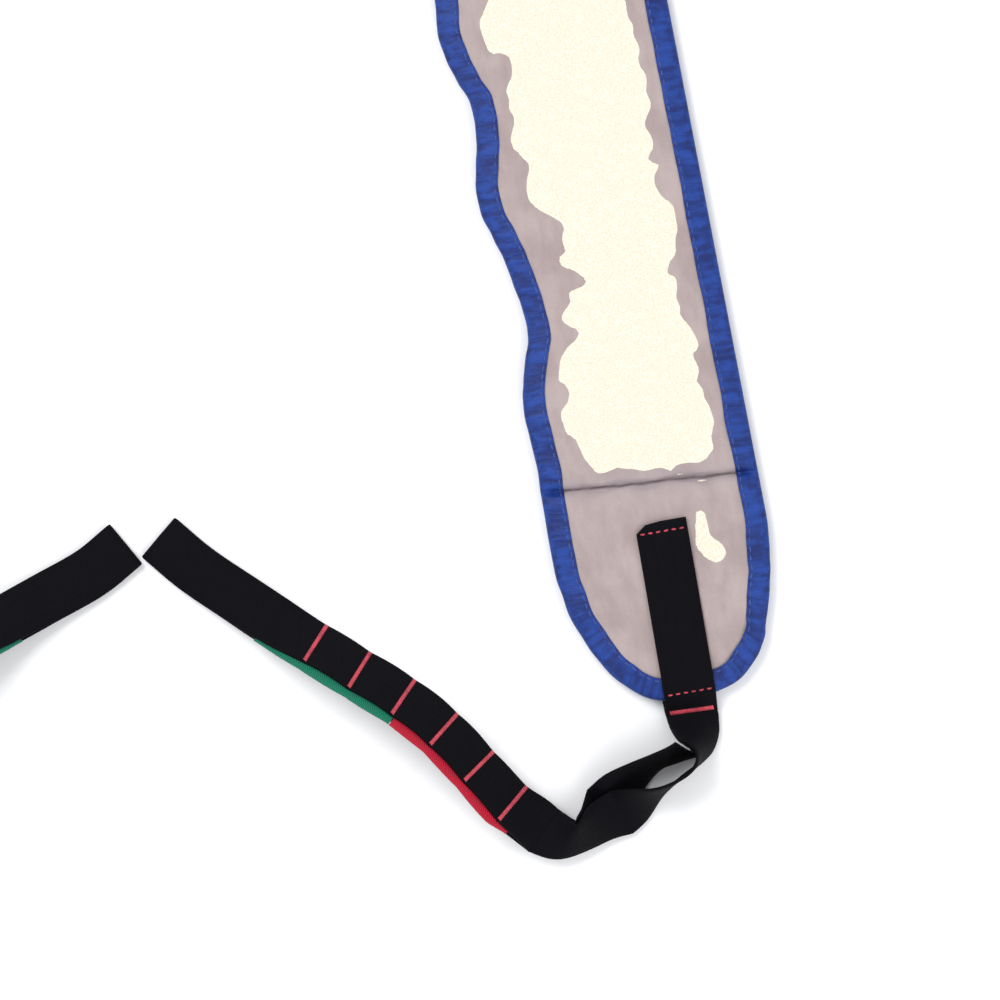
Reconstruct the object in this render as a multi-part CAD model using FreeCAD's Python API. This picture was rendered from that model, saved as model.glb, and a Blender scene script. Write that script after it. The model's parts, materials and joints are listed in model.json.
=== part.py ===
import FreeCAD, Part
import math
import os

os.makedirs("parts", exist_ok=True)
V = FreeCAD.Vector

# Padded transfer belt with a sling strap at each end, laid on a flat surface.
# Millimetres, +Z up, the surface at z = 0. The belt is the same on both sides of the plane x = 0.

# ---- webbing and straps -------------------------------------------------------------------
strap_width = 25.0        # one-inch webbing
strap_thick = 1.8
route_thick = 1.8         # webbing thickness that the heights in the routes below allow for
tuck = 0.1                # gap between neighbouring layers of one body
body_gap = 0.3            # gap between neighbouring bodies

# ---- pad ----------------------------------------------------------------------------------
pad_width = 107.0         # over the binding
shell_thick = 0.8
foam_thick = 6.2
lining_thick = 1.2
tape_thick = 0.8          # binding tape
tape_leg = 11.0           # how far the tape reaches in over each face
foam_margin = 9.0         # the foam stops this far inside the edge

# ---- lie of the belt ------------------------------------------------------------------------
tip_offset = 264.0        # rounded tip of the pad, measured from the middle plane
lean = 10.9               # how far each arm leans in towards the middle plane, degrees
arm_straight = 385.0      # straight length of the pad, tip to the start of the bend
flat_length = 345.0       # the arm lies flat this far back from its tip
stand_angle = 80.0        # how steeply the back of the belt stands, degrees
split_angle = 35.0        # the back ends here, degrees round the bend from the middle
crease_back = 103.4       # crease across the pad, measured back from the tip
crease_skew = 4.9         # the crease is not quite square to the pad, degrees
# How far the inner edge is drawn in, by distance back from the tip: the edge lies in waves.
edge_wave = [(400, 0), (372, 0), (351, -3), (333, -4.8), (321, -3), (311, 0), (300, 4.4), (290, 4.9),
             (279, 3.8), (268, 1.2), (257, -1), (245, -0.6), (233, 3), (221, 6.4), (211, 8), (198, 10.2),
             (189, 11), (181, 10.3), (172, 6.8), (163, 4.4), (154, 2.3), (144, 1.5), (132, 2.2), (115, 2.9),
             (103.4, 2.2), (80, 1.5)]

# ---- sewn-on tail and the straps --------------------------------------------------------------
tail_start = 84.0         # sewn end of the tail, back from the tip of the pad
tail_drift = 2.5          # how far the tail wanders off the pad's axis
tail_clip = 5.0           # clipped corner of the tail's sewn end
stitch_rows = (79.0, 1.0)  # two rows of dotted stitching, back from the tip
stitch_pitch = 3.8
root_bar_past = 7.6       # bar tack that closes the loop, past the tip
tack_width = 2.2
tack_height = 0.7
tack_from_turn = 32.4     # first bar tack, along the strap from the turn
tack_pitch = 23.9
tack_count = 6
red_cells = 3             # cells of the tacked length whose coloured webbing is red, the rest are green
color_offset = 2.5        # the coloured webbing stands out this far on one side

# Routes of the straps: beyond the tip, across (negative towards the middle plane), lean of the
# strap in degrees, height of its low edge. A strap stands on its edge where it turns.
outer_route = [(9, 0.5, 0, 2.1), (12, 0.6, 6, 2.1), (16, 1.3, 23, 2.1), (22.4, 2.2, 48, 1.6), (28, 1.2, 68, 0.9),
               (33.8, -3.2, 84, 0.1), (38.9, -12.5, 86, 0.1), (43.4, -23.6, 74, 0.1), (47.6, -34.5, 40, 0.8),
               (51.2, -45.6, 12, 2.3), (54.0, -53, 26, 2.3), (56.5, -60, 34, 2.2), (57.9, -65, 30, 2.3),
               (58.9, -69.5, 26, 2.4), (59.2, -73, 25, 2.4)]
inner_route = [(26.6, -2.8, 70, 0), (28.9, -10, 83, 0), (29.0, -20, 82, 0), (32.0, -31, 60, 0),
               (38.2, -41.0, 30, 0), (46.0, -48.6, 12, 0), (52.4, -54.2, 24, 0.1)]
# The tacked strap from the turn to its end; it leans the other way.
ladder_route = [(59.2, -73, -25, 15.2), (53.4, -78.9, -8, 8.6), (47.4, -84.8, 12, 5.6), (36, -95.8, 33, 7),
                (16.4, -108, 38, 10), (-4.2, -121, 38, 12), (-21.7, -135.9, 38, 13), (-38.2, -153.8, 38, 12),
                (-54.9, -172.2, 36, 8), (-69, -187.4, 20, 3), (-85.5, -203.8, 7, 0.6), (-104, -222, 0, 0),
                (-120.4, -235.3, 0, 0)]
swing_past = 20.0         # the loop swings about a line this far along the strap past its root bar tack
strand_gap = 0.35         # between the two webbings where they lie on each other
turn_heading = -46.0      # direction of the line the strap bends about, degrees from the pad's axis
turn_ramp = 9.0           # a strap's cross-sections swing round to that line over this length
join_s = 18.5             # the two strands lie on each other this far before the turn
turn_gap = 1.9            # the strands stop this far before the turn line

# ---- values that follow from the ones above ---------------------------------------------------
g = math.radians(lean)
half = pad_width / 2.0
along_dir = V(math.sin(g), -math.cos(g), 0)
across_dir = V(math.cos(g), math.sin(g), 0)
tip = V(tip_offset, 0, 0)
n_shell = strap_thick + tuck
n_foam = n_shell + shell_thick + tuck
n_lining = n_foam + foam_thick + tuck
n_top = n_lining + lining_thick
n_tape_low = n_shell - tuck - tape_thick
n_tape_high = n_top + tuck + tape_thick
edge = tape_thick + tuck
up = V(0, 0, 1)


def place(along, across, height=0.0):
    """Point given beyond the tip, across the pad and above the surface."""
    return tip + along_dir * along + across_dir * across + up * height


def raised(route, layers):
    """Route lifted by what so many layers of webbing are thicker than the route allows for."""
    more = layers * (strap_thick - route_thick)
    return [(a, c, tilt, rise + more * math.cos(math.radians(tilt))) for a, c, tilt, rise in route]


outer_route = raised(outer_route, 1)
ladder_route = raised(ladder_route, 2)
bend_start = place(-arm_straight, -half)
bend_radius = bend_start.x / math.cos(g)
bend_centre = V(0, bend_start.y - bend_radius * math.sin(g), 0)
bend_angle = math.pi / 2 - g
split = math.radians(split_angle)


def smooth(table, x):
    """Value at x from a table of (x, value) pairs, eased between the pairs."""
    pairs = sorted(table)
    if x <= pairs[0][0]:
        return pairs[0][1]
    for (x0, v0), (x1, v1) in zip(pairs, pairs[1:]):
        if x <= x1:
            t = (x - x0) / (x1 - x0)
            return v0 + (v1 - v0) * (3 * t * t - 2 * t * t * t)
    return pairs[-1][1]


def twist_share(distance):
    """0 where the pad lies flat, 1 where it stands, by distance back from the tip."""
    whole = (bend_angle - split) * bend_radius + arm_straight - flat_length
    t = min(1.0, max(0.0, (distance - flat_length) / whole))
    return 3 * t * t - 2 * t * t * t


def station(distance):
    """Origin on the inner edge, width direction, face normal and inset, by distance from the tip."""
    tilt = math.radians(stand_angle) * twist_share(distance)
    if distance <= arm_straight:
        root = place(-distance, -half)
        out = across_dir
    else:
        turn = bend_angle - (distance - arm_straight) / bend_radius
        out = V(math.sin(turn), math.cos(turn), 0)
        root = bend_centre + out * bend_radius
    share = max(0.0, 1.0 - (distance - crease_back) / 60.0)
    along = along_dir * (math.tan(math.radians(crease_skew)) * share)
    width_dir = (out + along) * math.cos(tilt) + up * math.sin(tilt)
    root = root - along * half
    normal = out * (-math.sin(tilt)) + up * math.cos(tilt)
    return root, width_dir, normal, smooth(edge_wave, distance)


def loft(sections, straight=False):
    """Solid through a row of closed sections with the same number of corners."""
    wires = [Part.makePolygon(points + [points[0]]) for points in sections]
    return Part.makeLoft(wires, True, straight)


def pad_piece(distances, corners):
    """Loft of one cross-section, given as (from edge, offset, normal) corners, along the pad.

    The first entry picks the edge the offset is measured from: 0 inner, 1 outer, 0.5 middle.
    """
    sections = []
    for d in distances:
        root, width_dir, normal, inset = station(d)
        start = {0: inset, 0.5: half, 1: pad_width}
        sections.append([root + width_dir * (start[e] + w) + normal * n for e, w, n in corners])
    return loft(sections)


def slab(inner, outer, low, high):
    return [(0, inner, low), (1, -outer, low), (1, -outer, high), (0, inner, high)]


def tape(which):
    """Folded tape over one edge: which is 0 for the inner edge and 1 for the outer."""
    s = 1 if which == 0 else -1
    lo, hi, t = n_tape_low, n_tape_high, tape_thick
    rows = [(tape_leg, lo), (0, lo), (0, hi), (tape_leg, hi), (tape_leg, hi - t), (t, hi - t), (t, lo + t),
            (tape_leg, lo + t)]
    return [(which, s * w, n) for w, n in rows]


def web():
    w = strap_width / 2.0
    return [(0.5, -w, 0), (0.5, w, 0), (0.5, w, strap_thick), (0.5, -w, strap_thick)]


pad_layers = {
    "shell": slab(edge, edge, n_shell, n_shell + shell_thick),
    "foam": slab(foam_margin, foam_margin, n_foam, n_foam + foam_thick),
    "lining": slab(edge, edge, n_lining, n_top),
    "binding_inner": tape(0),
    "binding_outer": tape(1),
    "load_webbing": web(),
}


def spread(start, stop, pitch):
    count = max(2, int(math.ceil(abs(stop - start) / pitch)))
    return [start + (stop - start) * i / count for i in range(count + 1)]


# ---- the back: one standing piece on both sides of the middle plane --------------------------------
def back_piece(corners):
    sections = []
    reach = split - body_gap / 2.0 / bend_radius
    for turn in spread(-reach, reach, math.radians(7)):
        out = V(math.sin(turn), math.cos(turn), 0)
        tilt = math.radians(stand_angle)
        root = bend_centre + out * bend_radius
        width_dir = out * math.cos(tilt) + up * math.sin(tilt)
        normal = out * (-math.sin(tilt)) + up * math.cos(tilt)
        start = {0: 0.0, 0.5: half, 1: pad_width}
        sections.append([root + width_dir * (start[e] + w) + normal * n for e, w, n in corners])
    return loft(sections)


middle = {}
for layer, corners in pad_layers.items():
    middle[layer + "_back"] = back_piece(corners)

# ---- one arm, from the back to the crease ---------------------------------------------------------
arm_end = arm_straight + (bend_angle - split) * bend_radius - body_gap / 2.0
arm_stations = spread(arm_end, flat_length, 13) + spread(flat_length, crease_back + body_gap / 2.0, 10)[1:]
right = {}
for layer, corners in pad_layers.items():
    right[layer + "_arm"] = pad_piece(arm_stations, corners)


# ---- end panel: flat, with a rounded tip ------------------------------------------------------------
def outline(inset, low, high, opened=0.0):
    """Plate with the outline of the end panel drawn in by inset; opened pushes the straight end out."""
    skew = math.tan(math.radians(crease_skew))
    first = -crease_back + body_gap / 2.0 - opened
    inner = -half + inset + smooth(edge_wave, crease_back)
    outer = half - inset
    round_at = -half
    pts = [place(first + skew * inner, inner, low), place(round_at, inner, low),
           place(-inset, 0, low), place(round_at, outer, low), place(first + skew * outer, outer, low)]
    edges = [Part.makeLine(pts[0], pts[1]), Part.Arc(pts[1], pts[2], pts[3]).toShape(),
             Part.makeLine(pts[3], pts[4]), Part.makeLine(pts[4], pts[0])]
    return Part.Face(Part.Wire(edges)).extrude(up * (high - low))


right["shell_end"] = outline(edge, n_shell, n_shell + shell_thick)
right["foam_end"] = outline(foam_margin, n_foam, n_foam + foam_thick)
right["lining_end"] = outline(edge, n_lining, n_top)
tape_end = outline(0, n_tape_low, n_tape_high)
tape_end = tape_end.cut(outline(tape_thick, n_tape_low + tape_thick, n_tape_high - tape_thick, 5))
tape_end = tape_end.cut(outline(tape_leg, -1, n_tape_high + 1, 5))
slot = Part.makeBox(2 * half, strap_width + 0.6, n_shell + 2, V(-half, -strap_width / 2.0 - 0.3, -2))
slot.rotate(V(0, 0, 0), up, lean - 90)
slot.translate(tip)
right["binding_end"] = tape_end.cut(slot)


# ---- straps -------------------------------------------------------------------------------------------
class Route:
    """A strap's way over the surface. side is +1 where its left edge is the raised one, -1 its right."""

    def __init__(self, stations, side):
        self.side = side
        self.rows = stations
        self.at = [0.0]
        for p, q in zip(stations, stations[1:]):
            self.at.append(self.at[-1] + math.hypot(q[0] - p[0], q[1] - p[1]))
        self.length = self.at[-1]
        self.slopes = []
        last = len(stations) - 1
        for i in range(last + 1):
            lo, hi = max(0, i - 1), min(last, i + 1)
            span = self.at[hi] - self.at[lo]
            self.slopes.append([(stations[hi][k] - stations[lo][k]) / span for k in range(4)])

    def values(self, s):
        i = 0
        while i < len(self.at) - 2 and s > self.at[i + 1]:
            i += 1
        h = self.at[i + 1] - self.at[i]
        t = (s - self.at[i]) / h
        a, b = 2 * t ** 3 - 3 * t ** 2 + 1, t ** 3 - 2 * t ** 2 + t
        c, d = 3 * t ** 2 - 2 * t ** 3, t ** 3 - t ** 2
        p, q, m, n = self.rows[i], self.rows[i + 1], self.slopes[i], self.slopes[i + 1]
        return [a * p[k] + b * h * m[k] + c * q[k] + d * h * n[k] for k in range(4)]

    def centre(self, s):
        a, c, tilt, rise = self.values(s)
        return place(a, c, rise + strap_width / 2.0 * math.sin(math.radians(tilt)))

    def frame(self, s):
        """Centre, width direction and normal at a distance along the route."""
        tilt = math.radians(self.values(s)[2])
        run = self.centre(min(self.length, s + 0.5)) - self.centre(max(0.0, s - 0.5))
        flat = V(run.x, run.y, 0)
        flat.normalize()
        width_dir = up.cross(flat) * (self.side * math.cos(tilt)) + up * math.sin(tilt)
        run = run - width_dir * run.dot(width_dir)
        run.normalize()
        return self.centre(s), width_dir, run.cross(width_dir) * self.side

    def frames(self, start, stop, pitch=4.0):
        return [self.frame(s) for s in spread(start, stop, pitch)]


h = math.radians(turn_heading)
turn_line = along_dir * math.cos(h) + across_dir * math.sin(h)


def to_turn(route, start, stop, turn_s, pitch=4.0):
    """Frames of a route whose cross-sections swing round to lie along the turn line at turn_s."""
    rows = []
    for s in spread(start, stop, pitch):
        c, w, n = route.frame(s)
        run = route.centre(min(route.length, s + 0.5)) - route.centre(max(0.0, s - 0.5))
        run = V(run.x, run.y, 0)
        run.normalize()
        share = max(0.0, 1.0 - abs(s - turn_s) / turn_ramp)
        slant = turn_line.dot(run) / turn_line.dot(up.cross(run) * route.side)
        rows.append((c, w + run * (slant * share), n))
    return rows


def section(frame, low, high, shift=0.0, width=strap_width):
    c, w, n = frame
    l, r = shift - width / 2.0, shift + width / 2.0
    return [c + w * l + n * low, c + w * r + n * low, c + w * r + n * high, c + w * l + n * high]


def ribbon(frames, low=0.0, high=strap_thick, shift=0.0):
    return loft([section(f, low, high, shift) for f in frames], True)


def block(frame, run, low, length, thick=tack_height, wide=tack_width):
    """Small block of thread standing on a strap, long across it."""
    c, w, n = frame
    t = run - w * run.dot(w)
    t = t - n * t.dot(n)
    t.normalize()
    ends = []
    for r in (-1, 1):
        m = c + t * (r * wide / 2.0)
        ends.append([m - w * (length / 2.0) + n * low, m + w * (length / 2.0) + n * low,
                     m + w * (length / 2.0) + n * (low + thick), m - w * (length / 2.0) + n * (low + thick)])
    return Part.makeLoft([Part.makePolygon(e + [e[0]]) for e in ends], True, True)


# The tail is sewn flat on the lining and comes down over the tape to the load webbing.
skin = n_top + tuck
tape_top = n_tape_high + tuck
tail = Route([(-tail_start, tail_drift, 0, skin), (-55, 2.0, 0, skin), (-26, 1.4, 0, skin),
              (-tape_leg - 7, 1.3, 0, skin), (-tape_leg - 1, 1.1, 0, tape_top), (-3, 1.0, 0, tape_top),
              (0.6, 0.9, 0, tape_top), (2.6, 0.8, 0, tape_top - 2.4), (5.2, 0.7, 0, 4.6), (8.4, 0.5, 0, 2.5)]
             + outer_route[1:], -1)
loop_outer = Route(outer_route, -1)
loop_inner = Route(inner_route, -1)
ladder = Route(ladder_route, 1)
gap = body_gap / 2.0
root_s = tail.length - loop_outer.length          # where the tail has come down to the load webbing
swing_s = root_s + swing_past

drop_s = tail_start - tape_leg - 9
tail_frames = tail.frames(tail_clip, drop_s, 8) + tail.frames(drop_s, drop_s + 40, 2)[1:]
tail_frames = tail_frames + tail.frames(drop_s + 40, swing_s - gap, 3)[1:]
tail_sections = [section(f, 0, strap_thick) for f in tail_frames]
c, w, n = tail.frame(0.0)
inner_side = w if w.dot(across_dir) < 0 else w * -1
corner = [c - inner_side * (strap_width / 2.0), c + inner_side * (strap_width / 2.0 - tail_clip)]
if inner_side.dot(w) > 0:
    first = [corner[0], corner[1], corner[1] + n * strap_thick, corner[0] + n * strap_thick]
else:
    first = [corner[1], corner[0], corner[0] + n * strap_thick, corner[1] + n * strap_thick]
right["tail_webbing"] = loft([first] + tail_sections, True)

web_run = [(place(a, 0, 0), across_dir * -1, up) for a in spread(-crease_back + gap, 8.0, 25)]
skew = math.tan(math.radians(crease_skew))
web_run[0] = (web_run[0][0], across_dir * -1 - along_dir * skew, up)
under = strap_thick + strand_gap


def below(frame):
    c, w, n = frame
    return c - n * under, w, n


right["load_webbing_end"] = ribbon(web_run + [below(f) for f in tail.frames(root_s + 2, swing_s - gap, 3)])
join = tail.length - join_s
loop_rows = to_turn(tail, swing_s + gap, join, tail.length, 3.0)
last_rows = to_turn(tail, join, tail.length - turn_gap, tail.length, 3.0)
right["loop_strand_outer"] = ribbon(loop_rows + last_rows[1:])
inner_rows = [loop_inner.frame(s) for s in spread(9.0, loop_inner.length, 3.0)]
inner_rows = [below(tail.frame(swing_s + gap)), below(tail.frame(swing_s + 2))] + inner_rows
right["loop_strand_inner"] = ribbon(inner_rows + [below(f) for f in last_rows])

# Tacked strap: black webbing below and above, coloured webbing between them.
low_color = strap_thick + tuck
low_top = 2 * low_color
tack_at = [tack_from_turn + tack_pitch * i for i in range(tack_count)]
color_change = tack_at[red_cells] - 2.0
color_end = tack_at[-1] + 9.0
ladder_frames = to_turn(ladder, gap, ladder.length, 0.0)
right["ladder_base"] = ribbon(ladder_frames)
grid = spread(gap, ladder.length, 4.0)


def colored(start, stop):
    """Coloured webbing between two places along the tacked strap, on its neighbours' sections."""
    rows = [start] + [s for s in grid if start + 1 < s < stop - 1] + [stop]
    return ribbon([ladder.frame(s) for s in rows], low_color, low_color + strap_thick, color_offset)


right["webbing_red"] = colored(tack_at[0] - 6, color_change)
right["webbing_green"] = colored(color_change + 0.4, color_end)
# Past the coloured webbing the top layer comes down on the base, and at the end it turns under.
turn_radius = 0.3
sections = []
for s, frame in zip(grid, ladder_frames):
    t = min(1.0, max(0.0, (s - color_end - 2) / 24.0))
    drop = (low_top - strap_thick - 2 * turn_radius) * (3 * t * t - 2 * t ** 3)
    sections.append(section(frame, low_top - drop, low_top - drop + strap_thick))
c, w, n = ladder.frame(ladder.length)
run = w.cross(n)
if run.dot(c - ladder.centre(ladder.length - 5)) < 0:
    run = run * -1
hub = c + n * (strap_thick + turn_radius)
for i in range(1, 9):
    t = math.pi * i / 8
    out = n * math.cos(t) + run * math.sin(t)
    p = hub + out * turn_radius + run * 0.1
    q = hub + out * (turn_radius + strap_thick) + run * 0.1
    l, r = w * (-strap_width / 2.0), w * (strap_width / 2.0)
    sections.append([p + l, p + r, q + r, q + l])
right["ladder_top"] = loft(sections, True)

tacks = []
for s in tack_at:
    heading = ladder.centre(s + 1) - ladder.centre(s - 1)
    tacks.append(block(ladder.frame(s), heading, low_top + strap_thick + 1.5 * tuck, strap_width - 2))
right["bar_tacks"] = Part.Compound(tacks)
near = min(spread(0, tail.length, 0.1), key=lambda s: abs(tail.values(s)[0] - root_bar_past))
right["root_bar_tack"] = block(tail.frame(near), tail.centre(near + 1) - tail.centre(near - 1),
                               strap_thick + 6 * tuck, strap_width - 3)
stitches = []
for back in stitch_rows:
    s = tail_start - back
    c, w, n = tail.frame(s)
    count = int((strap_width - 4) / stitch_pitch)
    for i in range(count + 1):
        m = c + w * ((i - count / 2.0) * stitch_pitch)
        stitches.append(block((m, w, n), tail.centre(s + 1) - tail.centre(s - 1), strap_thick + tuck,
                              2.4, 0.5, 0.8))
right["tail_stitching"] = Part.Compound(stitches)

# ---- both sides, centred over the origin ---------------------------------------------------------------
shapes = dict(middle)
for name, shape in right.items():
    shapes[name + "_right"] = shape
    shapes[name + "_left"] = shape.mirror(V(0, 0, 0), V(1, 0, 0))
box = Part.Compound(list(shapes.values())).BoundBox
centring = V(0, -(box.YMin + box.YMax) / 2.0, 0)
for name, shape in shapes.items():
    shape.translate(centring)
    shape.exportStep("parts/" + name + ".step")
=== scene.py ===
# %% [markdown]
# A padded transfer belt is a long soft pad with a bound edge and a webbing strap at each end.
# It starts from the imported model, which gives the frame and the moving bodies.
# %% Load the frame
import json
import math
import bpy
import bmesh
import numpy as np
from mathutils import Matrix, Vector, noise

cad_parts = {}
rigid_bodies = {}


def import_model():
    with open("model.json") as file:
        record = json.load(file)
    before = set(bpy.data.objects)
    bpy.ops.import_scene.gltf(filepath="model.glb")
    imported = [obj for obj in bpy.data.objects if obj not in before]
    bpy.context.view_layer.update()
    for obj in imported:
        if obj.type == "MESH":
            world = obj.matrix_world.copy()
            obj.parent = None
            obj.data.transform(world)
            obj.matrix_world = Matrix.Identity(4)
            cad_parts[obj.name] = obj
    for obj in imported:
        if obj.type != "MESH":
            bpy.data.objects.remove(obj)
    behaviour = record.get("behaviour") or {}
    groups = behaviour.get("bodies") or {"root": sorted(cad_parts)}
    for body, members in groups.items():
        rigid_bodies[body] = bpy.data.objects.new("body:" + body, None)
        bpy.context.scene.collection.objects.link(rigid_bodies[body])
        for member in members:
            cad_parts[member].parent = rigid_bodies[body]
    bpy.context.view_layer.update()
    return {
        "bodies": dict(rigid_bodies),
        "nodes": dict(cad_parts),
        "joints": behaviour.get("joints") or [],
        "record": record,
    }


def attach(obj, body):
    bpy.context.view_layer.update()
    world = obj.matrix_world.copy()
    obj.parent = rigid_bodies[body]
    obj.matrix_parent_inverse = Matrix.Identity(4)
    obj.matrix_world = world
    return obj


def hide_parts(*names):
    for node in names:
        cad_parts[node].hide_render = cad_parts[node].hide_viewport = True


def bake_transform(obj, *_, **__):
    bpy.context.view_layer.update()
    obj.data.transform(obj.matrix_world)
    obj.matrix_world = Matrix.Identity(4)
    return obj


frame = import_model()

# %% [markdown]
# All sizes are in millimetres here and become metres when a mesh is made.
# The right half is built and the left half is its mirror, with its own creases.
# %% Sizes
MM = 0.001
TAU = 2 * math.pi
PAD_W, STRAP_W, STRAP_T = 107.0, 25.0, 1.8
# The tip is this far from the middle plane and from the frame's own zero, and the arm leans out from it.
TIP, CENTRE_Y, LEAN = 264.0, -207.129, math.radians(10.9)
# Going back from the tip the arm is straight, and it lies flat over a shorter length. Then the pad rises to
# stand on its edge. SPLIT is the part of each side's bend that belongs to the back.
STRAIGHT, FLAT, STAND, SPLIT = 385.0, 345.0, math.radians(80), math.radians(35)
CREASE, SKEW = 103.4, math.radians(4.9)
HALF = PAD_W / 2
ALONG = Vector((math.sin(LEAN), -math.cos(LEAN), 0))
ACROSS = Vector((math.cos(LEAN), math.sin(LEAN), 0))
UP = Vector((0, 0, 1))
TIP_AT = Vector((TIP, CENTRE_Y, 0))
# How far the inner edge is drawn in, at distances back from the tip.
EDGE_WAVE = [(400, 0), (372, 0), (351, -3), (333, -4.8), (321, -3), (311, 0), (300, 4.4), (290, 4.9), (279, 3.8),
             (268, 1.2), (257, -1), (245, -0.6), (233, 3), (221, 6.4), (211, 8), (198, 10.2), (189, 11), (181, 10.3),
             (172, 6.8), (163, 4.4), (154, 2.3), (144, 1.5), (132, 2.2), (115, 2.9), (103.4, 2.2), (60, 1.0), (20, 0)]
# The rounded end is not quite even: it tapers on the inner side and is full at the outer corner.
TAPER_IN = [(90, 0), (66, 0.6), (56, 2.5), (46, 4.4), (36, 5.8), (25, 5.3), (12, 3), (0, 0)]
TAPER_OUT = [(75, 0), (64, -1), (55, -2.4), (45, -3.8), (36, -3.8), (27, -2.9), (19, 0.5), (10.6, 2.9),
             (3.4, 5), (0, 3)]


def place(a, c, z=0.0):
    """Point beyond the tip, across the pad and above the floor."""
    return TIP_AT + ALONG * a + ACROSS * c + UP * z


BEND_AT = place(-STRAIGHT, -HALF)
BEND_R = BEND_AT.x / math.cos(LEAN)
BEND_C = Vector((0, BEND_AT.y - BEND_R * math.sin(LEAN), 0))
BEND_A = math.pi / 2 - LEAN
ARM_END = STRAIGHT + (BEND_A - SPLIT) * BEND_R
MIDDLE = STRAIGHT + BEND_A * BEND_R
print("half length of the pad, mm", round(MIDDLE, 1))


def ease(t):
    """Goes smoothly from 0 to 1."""
    t = min(1.0, max(0.0, t))
    return 3 * t * t - 2 * t ** 3


def table(pairs, x):
    """Value at x, eased between listed pairs."""
    rows = sorted(pairs)
    if x <= rows[0][0]:
        return rows[0][1]
    for (x0, v0), (x1, v1) in zip(rows, rows[1:]):
        if x <= x1:
            return v0 + (v1 - v0) * ease((x - x0) / (x1 - x0))
    return rows[-1][1]


def station(d):
    """Inner edge, width direction, face normal and inset of the pad at a distance back from its tip."""
    tilt = STAND * ease((d - FLAT) / (ARM_END - FLAT))
    if d <= STRAIGHT:
        root, out = place(-d, -HALF), ACROSS
    else:
        turn = BEND_A - (d - STRAIGHT) / BEND_R
        out = Vector((math.sin(turn), math.cos(turn), 0))
        root = BEND_C + out * BEND_R
    share = max(0.0, 1 - abs(d - CREASE) / 60)
    along = ALONG * (math.tan(SKEW) * share)
    width = (out + along) * math.cos(tilt) + UP * math.sin(tilt)
    return root - along * HALF, width, out * -math.sin(tilt) + UP * math.cos(tilt), table(EDGE_WAVE, d)


# %% [markdown]
# The pad is laid out on one grid that runs from the middle of the back to the rounded tip.
# A square grid is squeezed into the half disc at the tip, so that it has no pinched corner.
# %% The pad's grid
STEP = 4.0
NV = 28
CLOTH_CUT = 372.0
back_rows = [MIDDLE - (MIDDLE - ARM_END) * i / 22 for i in range(22)]
arm_n = int((ARM_END - CREASE) / STEP)
arm_rows = [ARM_END - (ARM_END - CREASE) * i / arm_n for i in range(arm_n)]
end_n = int((CREASE - HALF) / STEP)
end_rows = [CREASE - (CREASE - HALF) * i / end_n for i in range(end_n)]
arm_rows += [CREASE + 2.2, CREASE + 0.9]
end_rows[1:1] = [CREASE - 0.9, CREASE - 2.0]
disc_n = 14
ROWS = [("d", d) for d in back_rows + arm_rows + end_rows] + [("u", i / disc_n) for i in range(disc_n + 1)]
ROW_END, ROW_LAST = len(back_rows) + len(arm_rows), len(ROWS) - 1


def taper(a, c):
    """Place in the end panel, moved to its uneven outline."""
    if a < -90:
        return a, c
    reach = HALF if a < -HALF else math.sqrt(max(1.0, HALF ** 2 - (a + HALF) ** 2))
    share = max(-1.0, min(1.0, c / reach))
    droop = 3.0 * ease((a + 26) / 26) * (1 - 0.6 * ease((abs(c) - 15) / 30))
    return a + droop, c + share * (table(TAPER_OUT, -a) if share > 0 else -table(TAPER_IN, -a))


def sheet_point(row, v, inset=0.0):
    """Point on the pad's middle surface, its normal, its distance from the edge and its place on the cloth."""
    kind, x = ROWS[row]
    if kind == "d":
        root, width, normal, wave = station(x)
        span = PAD_W - wave
        w = wave + span * (v + 1) / 2
        w += inset * -v
        p = root + width * w
        if x < 90:
            rel = p - TIP_AT
            p = place(*taper(rel.dot(ALONG), rel.dot(ACROSS)))
        return p, normal, min(w - wave, PAD_W - w), (x, w)
    r = HALF - inset
    a = -HALF + r * x * math.sqrt(1 - v * v / 2)
    c = r * v * math.sqrt(1 - x * x / 2)
    away = HALF - math.hypot(a + HALF, c)
    return place(*taper(a, c)), UP.copy(), away, (-a, c + HALF)


print("grid rows", len(ROWS), "columns", NV + 1)

# %% [markdown]
# Puffing of the cloth comes from a short cloth simulation: the bottom and the sewn lines are held and
# a little air pressure lifts the lining between them. Each half is simulated with its own small shift.
# %% Shape of the lining
# Heights of the shell's underside and the lining's top, at the bound edge and in the middle of the pad.
EDGE_LOW, EDGE_TOP = 2.7, 7.4
MIDDLE_LOW, MIDDLE_TOP = 1.9, 10.2
# Air pressure, frames of the cloth simulation, and the most that it may move the lining.
AIR, LAST_FRAME, MOST_PUFF = 4, 20, 1.6


def crease_depth(d, w):
    """The tuck across the pad where the end panel is sewn on: a narrow valley with a soft ridge beside it."""
    x = d - CREASE + 0.8 * noise.noise(Vector((w * 0.05, 2.0, 7.0)))
    return 3.0 * math.exp(-(x / 1.5) ** 2) + 0.8 * math.exp(-(x / 6.0) ** 2) - 1.0 * math.exp(-((x + 6) / 3.5) ** 2)


def under_tail(d, w):
    """1 where the tail presses on the lining, 0 away from it."""
    return ease((90 - d) / 8) * ease((17.5 - abs(w - HALF - 1.5)) / 5)


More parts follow.
